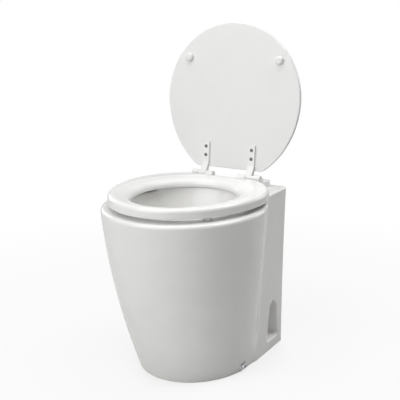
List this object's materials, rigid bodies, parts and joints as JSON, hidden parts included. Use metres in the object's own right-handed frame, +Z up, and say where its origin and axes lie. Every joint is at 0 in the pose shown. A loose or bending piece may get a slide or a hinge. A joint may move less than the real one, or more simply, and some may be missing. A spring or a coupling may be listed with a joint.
{
  "type": "electric toilet",
  "caption": "Skirted china toilet bowl with a hinged plastic seat and lid, hiding a macerator pump with motor, a discharge flap valve and an electric rinse valve behind a rear service opening.",
  "frame": {"origin": "on the floor, midway between the two rear floor screw holes", "axes": "+Z up, +X to the right seen from the front, -Y towards the front of the bowl"},
  "size_m": [0.368, 0.4461, 0.7834],
  "materials": {
    "china": "gloss",
    "white_plastic": "gloss",
    "buffer_plastic": "satin",
    "chrome": "polished",
    "steel": "satin",
    "black_plastic": "matte",
    "rubber": "matte",
    "motor_steel": "satin",
    "magnet": "matte",
    "coil_plastic": "satin"
  },
  "bodies": {
    "bowl": {"china_body": "china", "hinge_base_left": "white_plastic", "hinge_base_right": "white_plastic", "skirt_screws": "chrome", "skirt_screw_washers": "chrome", "hinge_pins": "steel", "hinge_bolts": "steel", "hinge_bolt_washers": "steel", "chopper_plate": "steel", "casing_screws": "steel", "motor_strap": "steel", "base_screws": "steel", "discharge_screws": "steel", "valve_bracket": "steel", "plunger_spring": "steel", "hose_clips": "steel", "front_bearing": "steel", "rear_bearing": "steel", "floor_bracket_left": "steel", "floor_bracket_right": "steel", "valve_core_tube": "steel", "flap_pin": "steel", "intake_elbow": "black_plastic", "macerator_housing": "black_plastic", "motor_adaptor": "black_plastic", "motor_end_cap": "black_plastic", "pump_base": "black_plastic", "discharge_elbow": "black_plastic", "discharge_tail": "black_plastic", "valve_body": "black_plastic", "inlet_spud": "black_plastic", "hinge_wing_nuts": "black_plastic", "bowl_seal": "rubber", "casing_seal": "rubber", "shaft_seal": "rubber", "rubber_feet": "rubber", "valve_diaphragm": "rubber", "rinse_hose": "rubber", "spud_seal": "rubber", "motor_can": "motor_steel", "field_magnets": "magnet", "motor_brushes": "magnet", "valve_coil": "coil_plastic"},
    "lid": {"lid": "white_plastic", "lid_buffers": "buffer_plastic", "lid_hinge_arm_left": "white_plastic", "lid_hinge_arm_right": "white_plastic", "lid_hinge_screws": "steel"},
    "seat": {"seat_ring": "white_plastic", "seat_buffers": "buffer_plastic", "seat_hinge_arm_left": "white_plastic", "seat_hinge_arm_right": "white_plastic", "seat_hinge_screws": "steel"},
    "pump_rotor": {"motor_shaft": "steel", "chopper_blade": "steel", "blade_nut": "steel", "impeller": "black_plastic", "armature": "motor_steel"},
    "valve_plunger": {"valve_plunger": "steel"},
    "discharge_flap": {"discharge_flap": "rubber"}
  },
  "joints": [
    {"name": "lid_hinge", "type": "hinge", "parent": "bowl", "child": "lid", "pos_m": [0, 0.007, 0.42], "axis": [-1, 0, 0], "range_deg": [-94.48, 0]},
    {"name": "seat_hinge", "type": "hinge", "parent": "bowl", "child": "seat", "pos_m": [0, 0.007, 0.42], "axis": [-1, 0, 0], "range_deg": [0, 94]},
    {"name": "pump_spin", "type": "hinge", "parent": "bowl", "child": "pump_rotor", "pos_m": [0, -0.05, 0.082], "axis": [0, 1, 0], "continuous": true},
    {"name": "plunger_slide", "type": "slide", "parent": "bowl", "child": "valve_plunger", "axis": [1, 0, 0], "range_m": [0, 0.0035], "stiffness_N_per_m": 250, "springref_m": -0.004, "deforming": ["plunger_spring"]},
    {"name": "flap_swing", "type": "hinge", "parent": "bowl", "child": "discharge_flap", "pos_m": [-0.025, -0.0296, 0.1895], "axis": [1, 0, 0], "range_deg": [0, 60]}
  ]
}
